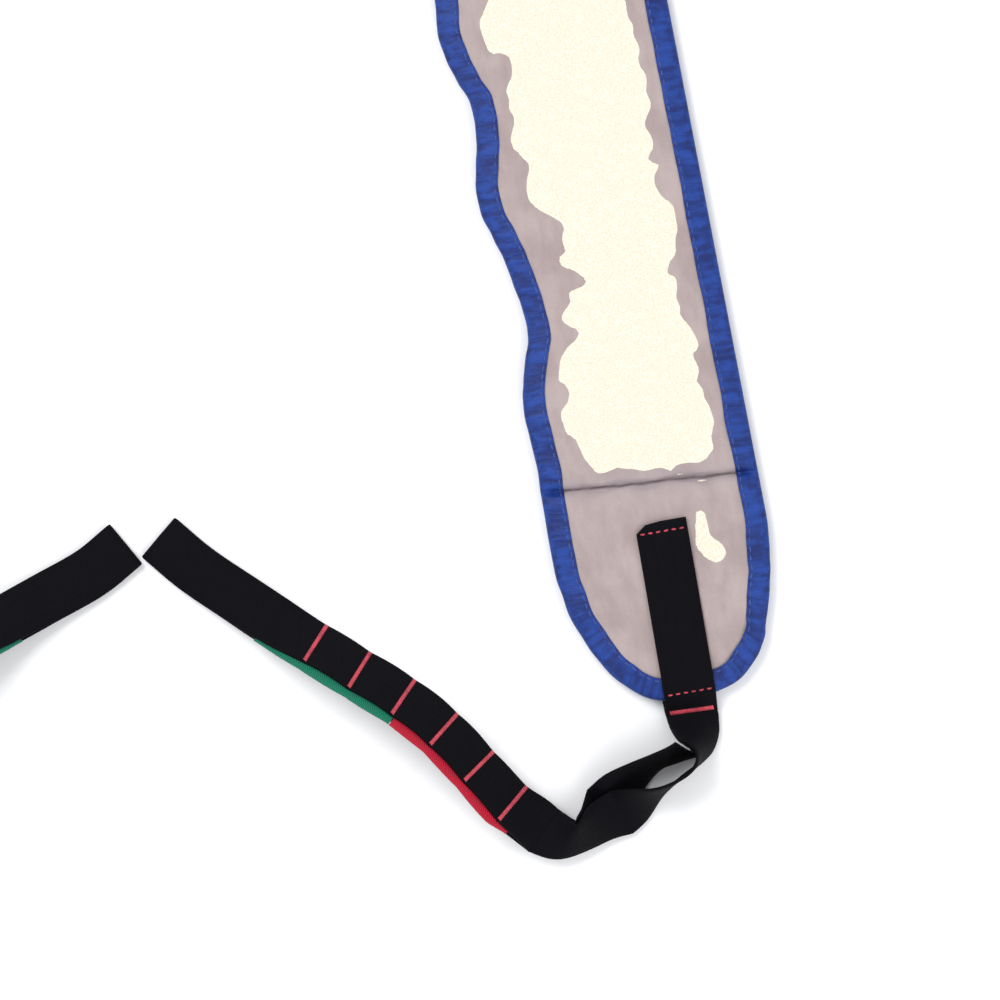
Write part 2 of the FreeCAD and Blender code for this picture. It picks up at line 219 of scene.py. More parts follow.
def top_height(away, cloth, side):
    d, w = cloth
    rise = ease(away / 20.0)
    n = EDGE_TOP + (MIDDLE_TOP - EDGE_TOP) * rise
    free = rise * ease((MIDDLE - d) / 60) * (1 - under_tail(d, w))
    p = Vector((d * 0.018 + side * 7.3, w * 0.030, side * 3.1))
    n += (noise.noise(p) * 1.5 + noise.noise(p * 2.6) * 0.6) * free
    # where the inner edge is drawn in, the cloth bunches into low folds that run in from the edge
    q = Vector((d * 0.055 + side * 2.0, w * 0.012, 5.0))
    n += noise.noise(q) * 1.6 * ease((HALF * 1.2 - w) / 60) * ease(away / 12) * ease((MIDDLE - d) / 60)
    return n - crease_depth(d, w) * ease(away / 4)


def low_height(away, cloth):
    """Underside of the shell. It lies a little higher where the load webbing comes out at the tip."""
    d, w = cloth
    lift = 0.9 * ease((22 - d) / 8) * ease((19 - abs(w - HALF)) / 5) * ease((14 - away) / 6)
    return EDGE_LOW + (MIDDLE_LOW - EDGE_LOW) * ease(away / 14) + lift * ease(away / 14)


def make_mesh(name, verts, faces, uvs=None):
    """Smooth mesh object, with its place on the cloth kept as a map."""
    mesh = bpy.data.meshes.new(name)
    mesh.from_pydata([tuple(v) for v in verts], [], faces)
    mesh.update()
    if uvs is not None:
        layer = mesh.uv_layers.new(name="cloth")
        index = np.zeros(len(mesh.loops), int)
        mesh.loops.foreach_get("vertex_index", index)
        layer.data.foreach_set("uv", np.array(uvs, float)[index].ravel())
    mesh.polygons.foreach_set("use_smooth", [True] * len(mesh.polygons))
    obj = bpy.data.objects.new(name, mesh)
    bpy.context.scene.collection.objects.link(obj)
    return obj


def pad_shell(side):
    """Top and bottom points of the pad over the whole grid, before the air goes in."""
    tops, lows, uvs = [], [], []
    for i in range(len(ROWS)):
        for j in range(NV + 1):
            v = -1 + 2 * j / NV
            p, n, away, cloth = sheet_point(i, v, 2.0)
            away = max(0.0, away)
            tops.append(p + n * top_height(away, cloth, side))
            lows.append(p + n * low_height(away, cloth))
            uvs.append((cloth[0] * MM, cloth[1] * MM))
    return tops, lows, uvs


def grid_faces(rows, cols, offset=0, flip=False):
    out = []
    for i in range(rows - 1):
        for j in range(cols - 1):
            a = offset + i * cols + j
            f = (a, a + cols, a + cols + 1, a + 1)
            out.append(f if flip else f[::-1])
    return out


def closed_faces(nr, nc):
    """Faces of a closed sheet: its top, its bottom and the rim between them."""
    count = nr * nc
    faces = grid_faces(nr, nc) + grid_faces(nr, nc, count, True)
    rim = [i * nc for i in range(nr)] + [(nr - 1) * nc + j for j in range(1, nc)]
    rim += [i * nc + nc - 1 for i in range(nr - 2, -1, -1)] + [j for j in range(nc - 2, 0, -1)]
    for a, b in zip(rim, rim[1:] + rim[:1]):
        faces.append((a, b, count + b, count + a))
    return faces


def inflate(tops, lows, side):
    """Cloth run on the closed pad. Returns the lifted top points."""
    nr, nc = len(ROWS), NV + 1
    count = nr * nc
    verts = [p * MM for p in tops] + [p * MM for p in lows]
    faces = closed_faces(nr, nc)
    obj = make_mesh("inflating", verts, faces)
    held = obj.vertex_groups.new(name="held")
    for i in range(nr):
        kind, x = ROWS[i]
        for j in range(nc):
            edge = min(j, NV - j, nr - 1 - i)
            w = 1.0 if edge <= 2 or i == 0 or i == ROW_END else (0.6 if edge == 3 else 0.0)
            if i > ROW_END + 4 and abs(j - NV / 2) < 4:
                w = 1.0
            if w:
                held.add([i * nc + j], w, "REPLACE")
            held.add([count + i * nc + j], 1.0, "REPLACE")
    mod = obj.modifiers.new("air", "CLOTH")
    s = mod.settings
    s.quality = 6
    s.mass = 0.15
    s.tension_stiffness = s.compression_stiffness = 15
    s.shear_stiffness = 5
    s.bending_stiffness = 0.3
    s.use_pressure = True
    s.uniform_pressure_force = AIR
    s.shrink_min = -0.012
    s.vertex_group_mass = "held"
    s.effector_weights.gravity = 0
    mod.point_cache.frame_start, mod.point_cache.frame_end = 1, LAST_FRAME
    scene = bpy.context.scene
    for f in range(1, LAST_FRAME + 1):
        scene.frame_set(f)
    after = obj.evaluated_get(bpy.context.evaluated_depsgraph_get()).to_mesh()
    co = np.zeros(len(after.vertices) * 3)
    after.vertices.foreach_get("co", co)
    moved = co.reshape(-1, 3)[:count] / MM
    bpy.data.objects.remove(obj, do_unlink=True)
    scene.frame_set(1)
    start = np.array([tuple(p) for p in tops])
    shift = moved - start
    length = np.linalg.norm(shift, axis=1, keepdims=True)
    shift *= np.minimum(1, MOST_PUFF / np.maximum(length, 1e-9))
    print("side", side, "cloth moved up to", round(float(length.max()), 2), "mm, kept", MOST_PUFF)
    return [Vector(p) for p in start + shift]


# %% [markdown]
# Cloth meshes: a sheet gets a thickness, so that every piece is a closed body.
# A mirrored piece has its faces turned round, so that they still face outward.
# %% Sheets and strips
def pos(p, side):
    """A millimetre point of the right half in metres, mirrored if it is for the left."""
    return Vector((p.x * side, p.y, p.z)) * MM


def close_sheet(name, tops, lows, nr, nc, uvs, side):
    """Closed sheet between two grids of points."""
    verts = list(tops) + list(lows)
    faces = closed_faces(nr, nc)
    if side < 0:
        faces = [f[::-1] for f in faces]
    scaled = [pos(p, side) for p in verts]
    return finish_mesh(make_mesh(name, scaled, faces, list(uvs) + list(uvs)))


def finish_mesh(obj):
    """Turns the faces outward."""
    bm = bmesh.new()
    bm.from_mesh(obj.data)
    bmesh.ops.recalc_face_normals(bm, faces=bm.faces)
    bm.to_mesh(obj.data)
    bm.free()
    return obj


def rounded(obj):
    """Smooths a piece with one subdivision."""
    mod = obj.modifiers.new("round", "SUBSURF")
    mod.levels = mod.render_levels = 1
    return apply_all(obj)


def apply_all(obj):
    """Turns what the modifiers make into the object's own mesh."""
    dg = bpy.context.evaluated_depsgraph_get()
    made = bpy.data.meshes.new_from_object(obj.evaluated_get(dg))
    old = obj.data
    obj.modifiers.clear()
    obj.data = made
    made.name = obj.name
    bpy.data.meshes.remove(old)
    return obj


def swept(name, rings, side, uv_rows, uv_cols):
    """Tube through a row of closed rings, with its ends closed."""
    n, k = len(rings), len(rings[0])
    verts = [pos(p, side) for ring in rings for p in ring]
    faces = []
    for i in range(n - 1):
        for j in range(k):
            a, b = i * k + j, i * k + (j + 1) % k
            faces.append((a, b, b + k, a + k))
    half = k // 2
    for base, turn in ((0, False), ((n - 1) * k, True)):
        for j in range(half - 1):
            f = (base + j, base + j + 1, base + k - 2 - j, base + k - 1 - j)
            faces.append(f if turn else f[::-1])
    uvs = [(u * MM, c * MM) for u in uv_rows for c in uv_cols]
    return finish_mesh(make_mesh(name, verts, faces, uvs))


# %% [markdown]
# Materials are node networks. A small helper lets shader maths be written as sums.
# %% Shader helper
class Val:
    def __init__(self, net, socket):
        self.net, self.socket = net, socket

    def op(self, kind, other=None, swap=False, third=None):
        node = self.net.tree.nodes.new("ShaderNodeMath")
        node.operation = kind
        pair = [self, other] if not swap else [other, self]
        for slot, x in zip(node.inputs, pair + [third]):
            self.net.feed(slot, x)
        return Val(self.net, node.outputs[0])

    def __add__(self, o): return self.op("ADD", o)
    def __radd__(self, o): return self.op("ADD", o)
    def __sub__(self, o): return self.op("SUBTRACT", o)
    def __rsub__(self, o): return self.op("SUBTRACT", o, True)
    def __mul__(self, o): return self.op("MULTIPLY", o)
    def __rmul__(self, o): return self.op("MULTIPLY", o)
    def sin(self): return self.op("SINE")
    def abs(self): return self.op("ABSOLUTE")
    def pingpong(self, o): return self.op("PINGPONG", o)
    def clamp(self): return self.op("MAXIMUM", 0.0).op("MINIMUM", 1.0)

    def step(self, lo, hi):
        """Smooth step between two values."""
        node = self.net.make("ShaderNodeMapRange", {"Value": self, "From Min": lo, "From Max": hi})
        node.interpolation_type = "SMOOTHSTEP"
        return Val(self.net, node.outputs[0])


class Net:
    def __init__(self, name):
        self.mat = bpy.data.materials.new(name)
        self.mat.use_nodes = True
        self.tree = self.mat.node_tree
        self.shader = self.tree.nodes["Principled BSDF"]

    def feed(self, slot, x):
        if isinstance(x, Val):
            self.tree.links.new(x.socket, slot)
        elif x is not None:
            slot.default_value = x

    def make(self, kind, inputs=None, **attrs):
        """Any other node, with its inputs by name."""
        node = self.tree.nodes.new(kind)
        for k, v in attrs.items():
            setattr(node, k, v)
        for k, v in (inputs or {}).items():
            self.feed(node.inputs[k], v)
        return node

    def cloth(self):
        """Place on the cloth, in millimetres: along it and across it."""
        uv = self.make("ShaderNodeUVMap", uv_map="cloth")
        xyz = self.make("ShaderNodeSeparateXYZ", {"Vector": Val(self, uv.outputs[0])})
        return Val(self, xyz.outputs[0]) * 1000.0, Val(self, xyz.outputs[1]) * 1000.0

    def at(self, x, y, z=0.0):
        node = self.make("ShaderNodeCombineXYZ", {"X": x, "Y": y, "Z": z})
        return Val(self, node.outputs[0])

    def noise(self, vector, scale, detail=3.0, rough=0.55):
        node = self.make("ShaderNodeTexNoise", {"Vector": vector, "Scale": scale, "Detail": detail, "Roughness": rough})
        return Val(self, node.outputs[0])

    def mix(self, fac, a, b):
        node = self.make("ShaderNodeMix", data_type="RGBA")
        self.feed(node.inputs[0], fac)
        self.feed(node.inputs[6], a)
        self.feed(node.inputs[7], b)
        return Val(self, node.outputs[2])

    def bump(self, height, distance, strength=1.0, before=None):
        node = self.make("ShaderNodeBump", {"Height": height, "Distance": distance, "Strength": strength})
        if before is not None:
            self.feed(node.inputs["Normal"], before)
        return Val(self, node.outputs[0])

    def done(self, color=None, rough=None, normal=None, **fixed):
        if color is not None:
            self.feed(self.shader.inputs["Base Color"], color)
        if rough is not None:
            self.feed(self.shader.inputs["Roughness"], rough)
        if normal is not None:
            self.feed(self.shader.inputs["Normal"], normal)
        for k, v in fixed.items():
            self.shader.inputs[k.replace("_", " ")].default_value = v
        return self.mat


def rgb(r, g, b):
    """Colour from values on the usual 0 to 255 scale."""
    return tuple(((c / 255 + 0.055) / 1.055) ** 2.4 if c > 10 else c / 255 / 12.92 for c in (r, g, b)) + (1.0,)


# %% [markdown]
# The lining is a brushed, suede-like cloth: short fibres lie in patches, so it looks mottled. Along the crease its
# colour carries painted shade.
# %% Lining cloth
def lining_cloth():
    net = Net("lining_cloth")
    u, v = net.cloth()
    p = net.at(u, v)
    patches = net.noise(p, 0.035, 4.0, 0.6)
    strokes = net.noise(net.at(u * 0.35, v * 1.0), 0.16, 4.0, 0.65)
    fibres = net.noise(net.at(u * 0.6, v), 1.9, 3.0, 0.7)
    pile = net.noise(p, 0.55, 2.0, 0.5)
    shade = (patches * 0.55 + strokes * 0.3 + fibres * 0.15).step(0.36, 0.64)
    color = net.mix(shade, rgb(153, 138, 137), rgb(169, 155, 153))
    color = net.mix(pile.step(0.5, 0.75) * 0.3, color, rgb(160, 149, 155))
    # painted shade: a soft darker band on both sides of the crease, wobbling a little across the pad
    wobble = net.noise(net.at(v, 0.0), 0.035, 3.0, 0.6) * 3.0 - 1.5
    off = u - CREASE + wobble
    band = (off.abs() * -1.0 + 9.0).step(0.0, 9.0)
    color = net.mix(band * 0.3, color, rgb(146, 137, 150))
    # painted shadow: a narrow dark line in the valley of the tuck
    line = (off.abs() * -1.0 + 1.3).step(0.0, 1.3) * (strokes * 1.2 + 0.3).clamp()
    color = net.mix(line * 0.85, color, rgb(74, 62, 68))
    height = fibres * 0.5 + pile * 0.35 + strokes * 0.5
    normal = net.bump(height, 0.0004, 0.55)
    return net.done(color, 0.82 + fibres * 0.16, normal, Sheen_Weight=0.12, Sheen_Roughness=0.45,
                    Specular_IOR_Level=0.15)


# %% [markdown]
# The binding is a shiny woven tape, and the shell a coated cloth with a fine plain weave. Both carry painted light and
# shade that follows their puckers and folds.
# %% Blue cloths
def binding_tape():
    net = Net("binding_tape_cloth")
    u, v = net.cloth()
    ribs = (u * (TAU / 0.62)).sin() * 0.5 + 0.5
    warp = (v * (TAU / 0.45)).sin() * 0.5 + 0.5
    puckers = net.noise(net.at(u * 0.30, v * 0.06), 1.0, 3.0, 0.6)
    wear_and_sheen = net.noise(net.at(u, v), 0.11, 4.0, 0.6)
    # painted sheen: the blue is lighter on the tops of the puckers and in scattered patches
    lit = (puckers * 0.7 + wear_and_sheen * 0.5).step(0.45, 0.75)
    color = net.mix(lit, rgb(8, 33, 98), rgb(22, 62, 146))
    color = net.mix(ribs * 0.2, color, rgb(4, 20, 70))
    normal = net.bump(puckers, 0.0016, 0.55)
    normal = net.bump(ribs * 0.6 + warp * 0.4, 0.00012, 0.5, normal)
    return net.done(color, 0.42 + wear_and_sheen * 0.22, normal, Specular_IOR_Level=0.3)


def shell_cloth():
    net = Net("shell_cloth")
    u, v = net.cloth()
    weave = (u * (TAU / 0.7)).sin() * (v * (TAU / 0.7)).sin()
    folds = net.noise(net.at(u * 0.3, v), 0.05, 4.0, 0.6)
    fine = net.noise(net.at(u, v), 0.8, 3.0, 0.6)
    # painted light and shade: the blue is lighter on the raised parts of the fold noise, which the bump below also
    # uses, and darker in its hollows
    color = net.mix((folds * 0.8 + fine * 0.2).step(0.38, 0.62), rgb(8, 30, 90), rgb(20, 54, 130))
    color = net.mix((weave * 0.5 + 0.5) * 0.2, color, rgb(4, 18, 62))
    normal = net.bump(folds, 0.002, 0.5)
    normal = net.bump(weave, 0.0001, 0.6, normal)
    return net.done(color, 0.45 + fine * 0.2, normal, Specular_IOR_Level=0.3)


def foam_stuff():
    net = Net("foam_stuff")
    u, v = net.cloth()
    cells = net.make("ShaderNodeTexVoronoi", {"Vector": net.at(u, v), "Scale": 1.4})
    pores = Val(net, cells.outputs[0])
    color = net.mix(pores, rgb(206, 198, 176), rgb(236, 230, 214))
    return net.done(color, 0.9 + pores * 0.05, net.bump(pores, 0.0004, 0.6))


# %% [markdown]
# Webbing is woven in a herringbone: small slanted ribs that change direction every few millimetres. Lighter patches of
# painted sheen lie over the weave.
# %% Webbing
def webbing(name, dark, light, sheen_patch_amount=0.5, shine=0.3):
    net = Net(name)
    u, v = net.cloth()
    zig = v.pingpong(2.1)
    ribs = ((u + zig * 0.8) * (TAU / 1.25)).sin() * 0.5 + 0.5
    cords = (v * (TAU / 0.52)).sin() * 0.5 + 0.5
    fuzz = net.noise(net.at(u, v), 2.4, 3.0, 0.7)
    wear_and_sheen = net.noise(net.at(u * 0.5, v), 0.09, 4.0, 0.6)
    rim = ((v.abs() - 11.0) * 1.0).step(0.0, 1.2)
    body = ribs * 0.65 + cords * 0.2 + fuzz * 0.15
    body = body * (1.0 - rim) + rim * ((u * (TAU / 0.9)).sin() * 0.4 + 0.5)
    color = net.mix(body.step(0.15, 0.95), dark, light)
    # painted sheen: patches of the weave are mixed toward the lighter colour
    color = net.mix(wear_and_sheen.step(0.5, 0.75) * sheen_patch_amount * 0.4, color, light)
    normal = net.bump(body, 0.00022, 0.8)
    return net.done(color, 0.62 + fuzz * 0.2 + wear_and_sheen * 0.1, normal, Specular_IOR_Level=shine)


def thread(name, dark, light):
    net = Net(name)
    xyz = net.make("ShaderNodeTexCoord")
    p = Val(net, xyz.outputs["Object"])
    twist = net.noise(p, 1800.0, 2.0, 0.5)
    worn = net.noise(p, 130.0, 2.0, 0.5)
    color = net.mix((twist * 0.6 + worn * 0.4).step(0.35, 0.65), dark, light)
    return net.done(color, 0.45 + twist * 0.2, net.bump(twist, 0.0001, 0.6), Sheen_Weight=0.2)


MAT = {"lining_fabric": lining_cloth(), "binding_tape": binding_tape(), "shell_fabric": shell_cloth(),
       "foam_pad": foam_stuff(), "black_webbing": webbing("black_webbing_cloth", rgb(1, 1, 4), rgb(9, 8, 15), 0.6, 0.1),
       "red_webbing": webbing("red_webbing_cloth", rgb(120, 6, 26), rgb(206, 24, 56)),
       "green_webbing": webbing("green_webbing_cloth", rgb(4, 74, 56), rgb(20, 132, 100)),
       "red_thread": thread("red_thread_twist", rgb(132, 14, 36), rgb(206, 56, 78)),
       "blue_thread": thread("blue_thread_twist", rgb(12, 38, 108), rgb(34, 70, 150))}
print("materials", len(MAT))


def dress(obj, slot, *nodes):
    """Gives a piece its material and hides the CAD pieces that it stands for."""
    obj.data.materials.clear()
    obj.data.materials.append(MAT[slot])
    slot != "blue_thread"
    if nodes:
        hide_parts(*nodes)
    return obj

# %% [markdown]
# Straps follow routes. Each row is the place beyond the tip, the place across, the tilt of the strap
# in degrees and the height of its low edge. A strap stands on its edge where it turns.
# %% Strap routes
OUTER = [(9, 0.5, 0, 2.6), (12, 0.6, 6, 2.2), (16, 1.3, 23, 2.1), (22.4, 2.2, 48, 1.6), (28, 1.2, 68, 0.9),
         (33.8, -3.2, 84, 0.1), (38.9, -12.5, 86, 0.1), (43.4, -23.6, 74, 0.1), (47.6, -34.5, 40, 0.9),
         (51.2, -45.6, 12, 2.4), (54.0, -53, 28, 3.0), (56.5, -60, 38, 4.2), (57.8, -65, 36, 5.8),
         (58.8, -69.5, 30, 7.2), (59.2, -73, 25, 8.0)]
INNER = [(24.0, -4.5, 60, 0), (26.3, -11.5, 66, 0), (28.4, -21, 68, 0), (33.0, -31.5, 54, 0),
         (39.4, -41.5, 30, 0), (45.4, -48.4, 14, 0)]
LADDER = [(59.2, -73, -25, 15.0), (53.4, -78.9, -8, 8.6), (47.4, -84.8, 12, 5.6), (36, -95.8, 33, 7),
          (16.4, -108, 38, 10), (-4.2, -121, 38, 12), (-21.7, -135.9, 38, 13), (-38.2, -153.8, 38, 12),
          (-54.9, -172.2, 36, 8), (-69, -187.4, 20, 3), (-85.5, -203.8, 7, 0.6), (-104, -222, 0, 0),
          (-120.4, -235.3, 0, 0)]
TAIL = [(-84, 2.5, 0, 10.35), (-55, 2.0, 0, 10.35), (-26, 1.4, 0, 10.35), (-14, 1.2, 0, 10.3), (-9, 1.1, 0, 10.0),
        (-5, 1.0, 0, 9.2), (-1, 1.0, 0, 8.5), (1.5, 0.9, 0, 7.7), (5, 0.7, 0, 5.2)] + OUTER


class Route:
    """A strap's way over the floor. side is +1 where its left edge is the raised one, -1 its right."""

    def __init__(self, rows, side):
        self.side, self.rows, self.at = side, rows, [0.0]
        for p, q in zip(rows, rows[1:]):
            self.at.append(self.at[-1] + math.hypot(q[0] - p[0], q[1] - p[1]))
        self.length = self.at[-1]
        self.slopes = []
        for i in range(len(rows)):
            lo, hi = max(0, i - 1), min(len(rows) - 1, i + 1)
            self.slopes.append([(rows[hi][k] - rows[lo][k]) / (self.at[hi] - self.at[lo]) for k in range(4)])

    def values(self, s):
        i = 0
        while i < len(self.at) - 2 and s > self.at[i + 1]:
            i += 1
        h = self.at[i + 1] - self.at[i]
        t = (s - self.at[i]) / h
        a, b = 2 * t ** 3 - 3 * t ** 2 + 1, t ** 3 - 2 * t ** 2 + t
        c, d = 3 * t ** 2 - 2 * t ** 3, t ** 3 - t ** 2
        p, q, m, n = self.rows[i], self.rows[i + 1], self.slopes[i], self.slopes[i + 1]
        return [a * p[k] + b * h * m[k] + c * q[k] + d * h * n[k] for k in range(4)]

    def centre(self, s):
        a, c, tilt, rise = self.values(s)
        return place(a, c, rise + STRAP_W / 2 * math.sin(math.radians(tilt)))

    def frame(self, s):
        """Centre, width direction and normal at a distance along the route."""
        tilt = math.radians(self.values(s)[2])
        run = self.centre(min(self.length, s + 0.5)) - self.centre(max(0.0, s - 0.5))
        flat = Vector((run.x, run.y, 0)).normalized()
        width = UP.cross(flat) * (self.side * math.cos(tilt)) + UP * math.sin(tilt)
        run = (run - width * run.dot(width)).normalized()
        return self.centre(s), width, run.cross(width) * self.side


def spread(start, stop, pitch):
    count = max(2, int(math.ceil(abs(stop - start) / pitch)))
    return [start + (stop - start) * i / count for i in range(count + 1)]


# Where the strap turns, its outer edge goes the long way round and its inner edge rises in a hump.
# Each row is the outer edge and then the inner edge: beyond the tip, across, height.
TURN = [(61.6, -48.0, 2.6, 43.4, -58.4, 15.5), (63.6, -56.0, 3.8, 46.8, -61.0, 20.5),
        (65.4, -66.0, 5.4, 49.4, -63.2, 22.0), (66.8, -75.4, 6.8, 50.8, -64.6, 19.0),
        (65.0, -82.0, 7.8, 49.1, -66.4, 13.5)]
TURN_STEPS, TURN_SMOOTHING = 5, 12


def spline(points, steps):
    """Smooth curve through points, with that many steps between neighbours."""
    out = []
    for k in range(len(points) - 1):
        a, b = points[max(0, k - 1)], points[k]
        c, d = points[k + 1], points[min(len(points) - 1, k + 2)]
        for i in range(steps):
            t = i / steps
            bend, swing = 2 * a - 5 * b + 4 * c - d, 3 * b - a - 3 * c + d
            out.append(0.5 * (2 * b + (c - a) * t + bend * t * t + swing * t ** 3))
    return out + [points[-1]]


def turn_frames(first, last, low):
    """Frames round the turn, from a strand's frame to the tacked strap's frame, whose layer starts at low."""
    half = STRAP_W / 2
    outer_pts = [c - w * half for c, w, n in first] + [place(*row[:3]) for row in TURN]
    inner_pts = [c + w * half for c, w, n in first] + [place(*row[3:]) for row in TURN]
    outer_pts += [c + n * low - w * half for c, w, n in last]
    inner_pts += [c + n * low + w * half for c, w, n in last]
    left, right = spline(outer_pts, TURN_STEPS), spline(inner_pts, TURN_STEPS)
    for _ in range(TURN_SMOOTHING):
        for edge in (left, right):
            edge[1:-1] = [(edge[i - 1] + 2 * edge[i] + edge[i + 1]) / 4 for i in range(1, len(edge) - 1)]
    rows = []
    for i in range(len(left)):
        lo, hi = max(0, i - 1), min(len(left) - 1, i + 1)
        run = ((left[hi] + right[hi]) - (left[lo] + right[lo])).normalized()
        w = (right[i] - left[i]) / STRAP_W
        n = w.normalized().cross(run).normalized()
        rows.append(((left[i] + right[i]) / 2, w, n if n.z > 0 else -n))
    return rows


def flip(frames):
    """The same strap with its width direction turned round."""
    return [(c, -w, n) for c, w, n in frames]


# Most of the strap's end is one line; the left one lies a little straighter than the right one.
LADDER_LEFT = LADDER[:-3] + [(-85, -205, 7, 0.6), (-102.5, -225, 0, 0), (-117.5, -237.5, 0, 0)]
tail, inner, ladder = Route(TAIL, -1), Route(INNER, -1), Route(LADDER, 1)
root_s = next(s for s in spread(0, tail.length, 0.2) if tail.values(s)[0] >= 9)
swing_s = root_s + 20
print("tail and outer strand, mm", round(tail.length, 1), "tacked strap, mm", round(ladder.length, 1))

# %% [markdown]
# The section of a strap is a flat band with rounded selvedges. Its place along the strap is kept for the weave.
# %% Strap pieces
PROFILE = [(-1, .5), (-.99, .8), (-.955, .97), (-.6, 1), (0, 1.02), (.6, 1), (.955, .97), (.99, .8),
           (1, .5), (.99, .2), (.955, .03), (.6, 0), (0, -.02), (-.6, 0), (-.955, .03), (-.99, .2)]


def band(frame, low, shift):
    """Section of a strap at a frame, lifted by low and moved sideways by shift."""
    c, w, n = frame
    return [c + w * (shift + x * STRAP_W / 2) + n * (low + y * STRAP_T) for x, y in PROFILE]


def strap(name, frames, side, low=0.0, shift=None, start=0.0):
    """A webbing piece through a row of frames."""
    shift = shift or [0.0] * len(frames)
    low = low if isinstance(low, list) else [low] * len(frames)
    rings = [band(f, z, x) for f, z, x in zip(frames, low, shift)]
    us = [start]
    for a, b in zip(frames, frames[1:]):
        us.append(us[-1] + (b[0] - a[0]).length)
    obj = swept(name, rings, side, us, [x * STRAP_W / 2 for x, _ in PROFILE])
    sharpen(obj)
    return obj


def sharpen(obj, degrees=40):
    """Marks the edges that stay crisp, such as a cut end."""
    bm = bmesh.new()
    bm.from_mesh(obj.data)
    for e in bm.edges:
        if len(e.link_faces) == 2 and e.calc_face_angle(0) > math.radians(degrees):
            e.smooth = False
    bm.to_mesh(obj.data)
    bm.free()


# %% [markdown]
# Stitches repeat, so they are set out by a node network: one stitch is placed at every point of a seam,
# turned along the seam and given a little unevenness.
# %% Stitch network
def stitch_network():
    tree = bpy.data.node_groups.new("stitch_line", "GeometryNodeTree")
    face = tree.interface
    ins = {}
    face.new_socket(name="Seam", in_out="INPUT", socket_type="NodeSocketGeometry")
    for label, kind in (("Stitch", "Object"), ("Size", "Vector"), ("Unevenness", "Float"), ("Seed", "Int"),
                        ("Thread", "Material")):
        ins[label] = face.new_socket(name=label, in_out="INPUT", socket_type="NodeSocket" + kind)
    face.new_socket(name="Stitches", in_out="OUTPUT", socket_type="NodeSocketGeometry")
    new, link = tree.nodes.new, tree.links.new
    start, end = new("NodeGroupInput"), new("NodeGroupOutput")
    run, up = new("GeometryNodeInputNamedAttribute"), new("GeometryNodeInputNamedAttribute")
    for node, label in ((run, "run"), (up, "face")):
        node.data_type = "FLOAT_VECTOR"
        node.inputs[0].default_value = label
    along, stand = new("FunctionNodeAlignRotationToVector"), new("FunctionNodeAlignRotationToVector")
    along.axis, stand.axis, stand.pivot_axis = "X", "Z", "X"
    link(run.outputs[0], along.inputs["Vector"])
    link(along.outputs[0], stand.inputs["Rotation"])
    link(up.outputs[0], stand.inputs["Vector"])
    chance, minus = new("FunctionNodeRandomValue"), new("ShaderNodeMath")
    chance.data_type = "FLOAT"
    minus.operation = "MULTIPLY"
    minus.inputs[1].default_value = -1.0
    link(start.outputs["Unevenness"], minus.inputs[0])
    link(minus.outputs[0], chance.inputs[2])
    link(start.outputs["Unevenness"], chance.inputs[3])
    link(start.outputs["Seed"], chance.inputs["Seed"])
    turn, apply = new("FunctionNodeAxisAngleToRotation"), new("FunctionNodeRotateRotation")
    turn.inputs["Axis"].default_value = (0, 0, 1)
    apply.rotation_space = "LOCAL"
    link(chance.outputs[1], turn.inputs["Angle"])
    link(stand.outputs[0], apply.inputs[0])
    link(turn.outputs[0], apply.inputs[1])
    info, onto = new("GeometryNodeObjectInfo"), new("GeometryNodeInstanceOnPoints")
    real, paint = new("GeometryNodeRealizeInstances"), new("GeometryNodeSetMaterial")
    link(start.outputs["Stitch"], info.inputs["Object"])
    link(start.outputs["Seam"], onto.inputs["Points"])
    link(info.outputs["Geometry"], onto.inputs["Instance"])
    link(apply.outputs[0], onto.inputs["Rotation"])
    link(start.outputs["Size"], onto.inputs["Scale"])
    link(onto.outputs[0], real.inputs[0])
    link(real.outputs[0], paint.inputs[0])
    link(start.outputs["Thread"], paint.inputs["Material"])
    link(paint.outputs[0], end.inputs[0])
    return tree, {k: v.identifier for k, v in ins.items()}


STITCHES, SOCKET = stitch_network()


def one_stitch():
    """A short arched thread, one unit long along X, that dips into the cloth at both ends."""
    bm = bmesh.new()
    rings = []
    for i in range(7):
        t = -0.5 + i / 6
        r = 0.5 * math.sqrt(max(0.08, 1 - (2 * t) ** 4 * 0.9))
        z = 0.55 * math.cos(math.pi * t) - 0.25
        turns = [a * TAU / 8 for a in range(8)]
        rings.append([bm.verts.new((t, r * math.cos(a), z + r * 0.8 * math.sin(a))) for a in turns])
    for a, b in zip(rings, rings[1:]):
        for j in range(8):
            bm.faces.new((a[j], a[(j + 1) % 8], b[(j + 1) % 8], b[j]))
    bm.faces.new(rings[0][::-1])
    bm.faces.new(rings[-1])
    bmesh.ops.recalc_face_normals(bm, faces=bm.faces)
    mesh = bpy.data.meshes.new("one_stitch")
    bm.to_mesh(mesh)
    bm.free()
    mesh.polygons.foreach_set("use_smooth", [True] * len(mesh.polygons))
    return bpy.data.objects.new("one_stitch", mesh)


STITCH = one_stitch()


